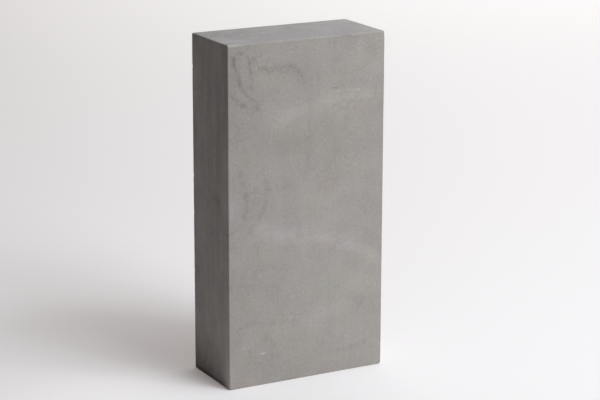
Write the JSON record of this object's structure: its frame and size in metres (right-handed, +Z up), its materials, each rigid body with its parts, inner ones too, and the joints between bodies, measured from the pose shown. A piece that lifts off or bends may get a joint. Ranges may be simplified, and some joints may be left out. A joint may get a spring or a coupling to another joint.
{
  "type": "stone brick",
  "caption": "Solid sawn brick of grey natural stone with eased, lightly worn arrises, stored on end; laid in mortar in a wall or bedded as paving.",
  "frame": {"origin": "middle of the end that the brick stands on", "axes": "+Z up the brick's length, +X across its broad faces towards the right of the front face, +Y through its thickness, away from the front face"},
  "size_m": [0.11, 0.05, 0.22],
  "materials": {
    "stone": "honed, matt"
  },
  "bodies": {
    "root": {"brick": "stone"}
  },
  "joints": []
}
